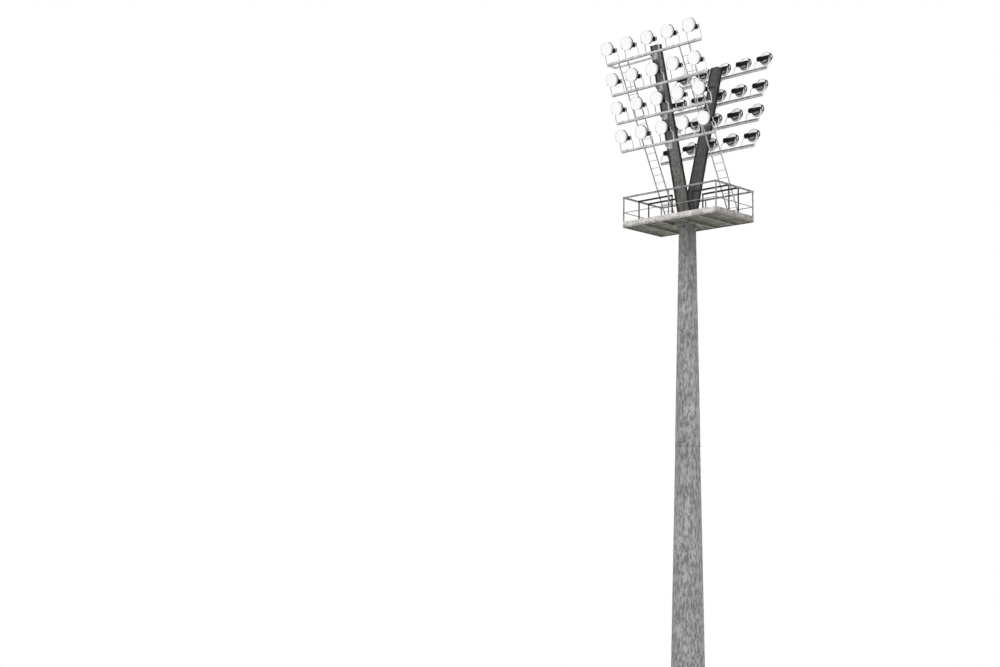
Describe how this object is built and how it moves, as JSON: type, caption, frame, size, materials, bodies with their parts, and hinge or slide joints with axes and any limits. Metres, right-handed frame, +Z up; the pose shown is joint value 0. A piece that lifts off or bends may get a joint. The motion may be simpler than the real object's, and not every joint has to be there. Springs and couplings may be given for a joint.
{
  "type": "stadium floodlight pylon",
  "caption": "Tall tapered steel mast on a square plinth carrying a railed platform and two leaning arms with stacked rows of round floodlights, reached by two ladders.",
  "frame": {"origin": "centre of the foundation plinth's underside, which is the ground plane", "axes": "+Z up the mast, +X along the rows of floodlights, -Y out of the panel that has the ladders and the top frame"},
  "size_m": [4.6246, 5.4164, 34.9685],
  "materials": {
    "dark_weathered_steel": "weathered",
    "white_concrete": "matt",
    "grey_rail_steel": "satin",
    "black_steel": "satin",
    "light_galvanised": "satin",
    "weathered_galvanised": "weathered",
    "dark_deck": "weathered",
    "pale_edge_steel": "weathered",
    "black_housing": "satin",
    "bowl_aluminium": "satin",
    "lamp_glass": "clear"
  },
  "bodies": {
    "root": {"arm_far": "dark_weathered_steel", "arm_far_hood": "dark_weathered_steel", "arm_foot_plate": "dark_weathered_steel", "arm_near": "dark_weathered_steel", "arm_near_cap": "dark_weathered_steel", "foundation_plinth": "white_concrete", "guard_rails_long_sides": "grey_rail_steel", "guard_rails_short_sides": "grey_rail_steel", "inner_guard_rails": "black_steel", "ladder_left": "light_galvanised", "ladder_right": "light_galvanised", "mast_anchor_ring": "weathered_galvanised", "mast_head_plate": "weathered_galvanised", "mast_lower_tube": "weathered_galvanised", "mast_middle_tube": "weathered_galvanised", "mast_upper_tube": "weathered_galvanised", "platform_bearers": "dark_deck", "platform_deck_boards": "dark_deck", "platform_edge_channels": "pale_edge_steel", "platform_toe_boards": "pale_edge_steel", "row_1_aiming_quadrants": "black_housing", "row_1_beams": "light_galvanised", "row_1_gear_boxes": "black_housing", "row_1_lamp_bowls": "bowl_aluminium", "row_1_lamp_glasses": "lamp_glass", "row_1_yokes": "light_galvanised", "row_2_aiming_quadrants": "black_housing", "row_2_beams": "light_galvanised", "row_2_gear_boxes": "black_housing", "row_2_lamp_bowls": "bowl_aluminium", "row_2_lamp_glasses": "lamp_glass", "row_2_yokes": "light_galvanised", "row_3_aiming_quadrants": "black_housing", "row_3_beams": "light_galvanised", "row_3_gear_boxes": "black_housing", "row_3_lamp_bowls": "bowl_aluminium", "row_3_lamp_glasses": "lamp_glass", "row_3_yokes": "light_galvanised", "row_4_aiming_quadrants": "black_housing", "row_4_beams": "light_galvanised", "row_4_gear_boxes": "black_housing", "row_4_lamp_bowls": "bowl_aluminium", "row_4_lamp_glasses": "lamp_glass", "row_4_yokes": "light_galvanised", "row_brackets": "light_galvanised", "top_frame": "light_galvanised"}
  },
  "joints": []
}
